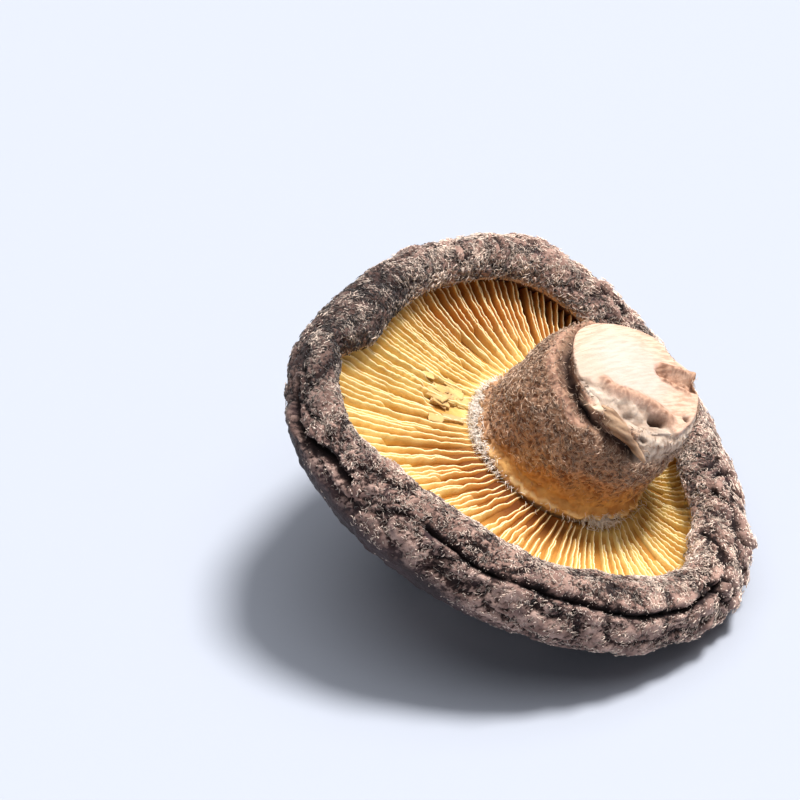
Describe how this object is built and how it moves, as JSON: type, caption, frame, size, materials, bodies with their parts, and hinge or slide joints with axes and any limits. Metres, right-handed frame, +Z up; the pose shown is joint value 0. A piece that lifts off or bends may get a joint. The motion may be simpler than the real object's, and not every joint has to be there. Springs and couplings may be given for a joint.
{
  "type": "dried shiitake mushroom",
  "caption": "Dried shiitake mushroom lying on its cap's flank with the gills up: domed cap with a rolled wrinkled rim, radiating gills and a short trimmed stem.",
  "frame": {"origin": "middle of the footprint, on the surface that the mushroom lies on", "axes": "+Z up, away from that surface; +X towards the low side of the tilted cap, so the gills face up and towards +X"},
  "size_m": [0.0422, 0.0474, 0.026],
  "materials": {
    "cap": "dry wrinkled skin, woolly grey-brown on the rim and smooth dark brown on the crown",
    "gills": "dry golden yellow blades with pale ragged edges",
    "stem": "tan felt, with bare cream flesh on the cut end"
  },
  "bodies": {
    "root": {"cap": "cap", "gills": "gills", "stem": "stem"}
  },
  "joints": []
}
